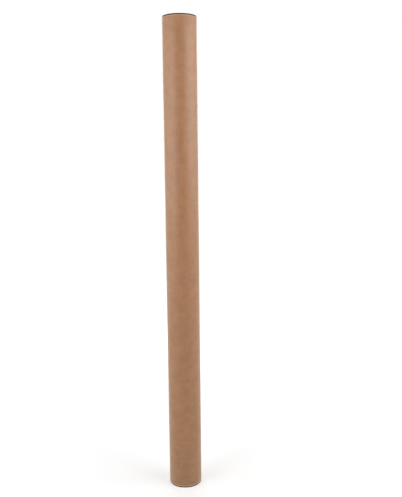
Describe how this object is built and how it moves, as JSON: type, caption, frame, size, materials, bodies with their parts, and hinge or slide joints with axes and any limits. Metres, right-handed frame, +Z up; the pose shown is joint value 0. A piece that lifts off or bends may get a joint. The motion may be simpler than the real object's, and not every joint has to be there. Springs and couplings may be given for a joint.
{
  "type": "cardboard tube",
  "caption": "Slim spiral-wound cardboard postal tube, closed at each end by a black push-in plug cap, for mailing or storing rolled paper.",
  "frame": {"origin": "middle of the lower cap's outer face, on the surface that the tube stands on", "axes": "+Z up along the tube; the part is round, so +X and +Y are free"},
  "size_m": [0.043, 0.043, 0.6126],
  "materials": {
    "kraft_board": "matte",
    "black_polyethylene": "satin"
  },
  "bodies": {
    "bottom_cap": {"bottom_cap": "black_polyethylene"},
    "tube": {"tube": "kraft_board"},
    "top_cap": {"top_cap": "black_polyethylene"}
  },
  "joints": [
    {"name": "tube_off_bottom_cap", "type": "slide", "parent": "bottom_cap", "child": "tube", "axis": [0, 0, 1], "range_m": [0, 0.06]},
    {"name": "top_cap_pull", "type": "slide", "parent": "tube", "child": "top_cap", "axis": [0, 0, 1], "range_m": [0, 0.06]}
  ]
}
